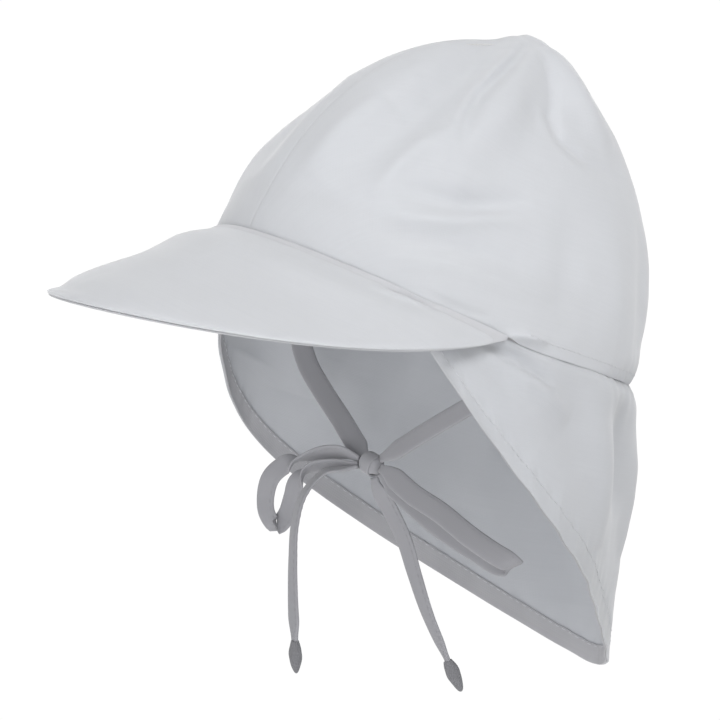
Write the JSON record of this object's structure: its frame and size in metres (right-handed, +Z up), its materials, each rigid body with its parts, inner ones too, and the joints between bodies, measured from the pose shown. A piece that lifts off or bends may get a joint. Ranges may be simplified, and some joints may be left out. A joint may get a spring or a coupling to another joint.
{
  "type": "flap sun hat",
  "caption": "Infant flap sun hat: peaked panelled cloth crown, soft arched bill, long neck flap and chin ties tied in a bow.",
  "frame": {"origin": "centre of the head opening, halfway between the ears", "axes": "+Z up as worn, -Y out of the front along the bill, +X to the wearer's left; the opening is tilted 21 degrees about X, brow up"},
  "size_m": [0.1818, 0.2519, 0.2505],
  "materials": {
    "shell_cloth": "matt plain-weave cotton poplin",
    "lining_cloth": "matt plain-weave cotton",
    "sweatband_cloth": "soft brushed cotton jersey",
    "trim_tape": "herringbone cotton tape",
    "elastic": "ribbed braided elastic",
    "foam": "soft felted interlining",
    "thread": "dense polyester zigzag stitching",
    "tie_cloth": "folded and stitched cotton strip"
  },
  "bodies": {
    "crown": {"crown_left": "shell_cloth", "crown_right": "shell_cloth", "seam_tape_front": "trim_tape", "seam_tape_back": "trim_tape", "sweatband": "sweatband_cloth", "nape_casing": "trim_tape", "nape_elastic": "elastic", "bartack_left": "thread", "bartack_right": "thread"},
    "bill": {"bill_top": "shell_cloth", "bill_foam": "foam", "bill_under": "lining_cloth"},
    "flap": {"neck_flap": "shell_cloth", "flap_hem": "lining_cloth"},
    "bow": {"tie_left": "tie_cloth", "tie_right": "tie_cloth", "bow_knot": "tie_cloth", "bow_loop_left": "tie_cloth", "bow_loop_right": "tie_cloth"},
    "tail_left": {"tie_tail_left": "tie_cloth", "tail_knot_left": "tie_cloth"},
    "tail_right": {"tie_tail_right": "tie_cloth", "tail_knot_right": "tie_cloth"}
  },
  "joints": [
    {"name": "bill_flip", "type": "hinge", "parent": "crown", "child": "bill", "pos_m": [0, -0.03, 0.02], "axis": [-1, 0, 0], "range_deg": [-6, 22], "stiffness_Nm_per_rad": 0.3, "springref_deg": 2.86},
    {"name": "flap_lift", "type": "hinge", "parent": "crown", "child": "flap", "pos_m": [0, 0.081, -0.0315], "axis": [1, 0, 0], "range_deg": [0, 45], "stiffness_Nm_per_rad": 0.1, "springref_deg": -8.59},
    {"name": "bow_swing", "type": "hinge", "parent": "crown", "child": "bow", "pos_m": [0, -0.003, -0.004], "axis": [1, 0, 0], "range_deg": [-20, 20]},
    {"name": "tail_left_swing", "type": "hinge", "parent": "bow", "child": "tail_left", "pos_m": [0, -0.025, -0.05], "axis": [1, 0, 0], "range_deg": [-15, 15]},
    {"name": "tail_right_swing", "type": "hinge", "parent": "bow", "child": "tail_right", "pos_m": [0, -0.025, -0.05], "axis": [1, 0, 0], "range_deg": [-8, 18]}
  ]
}
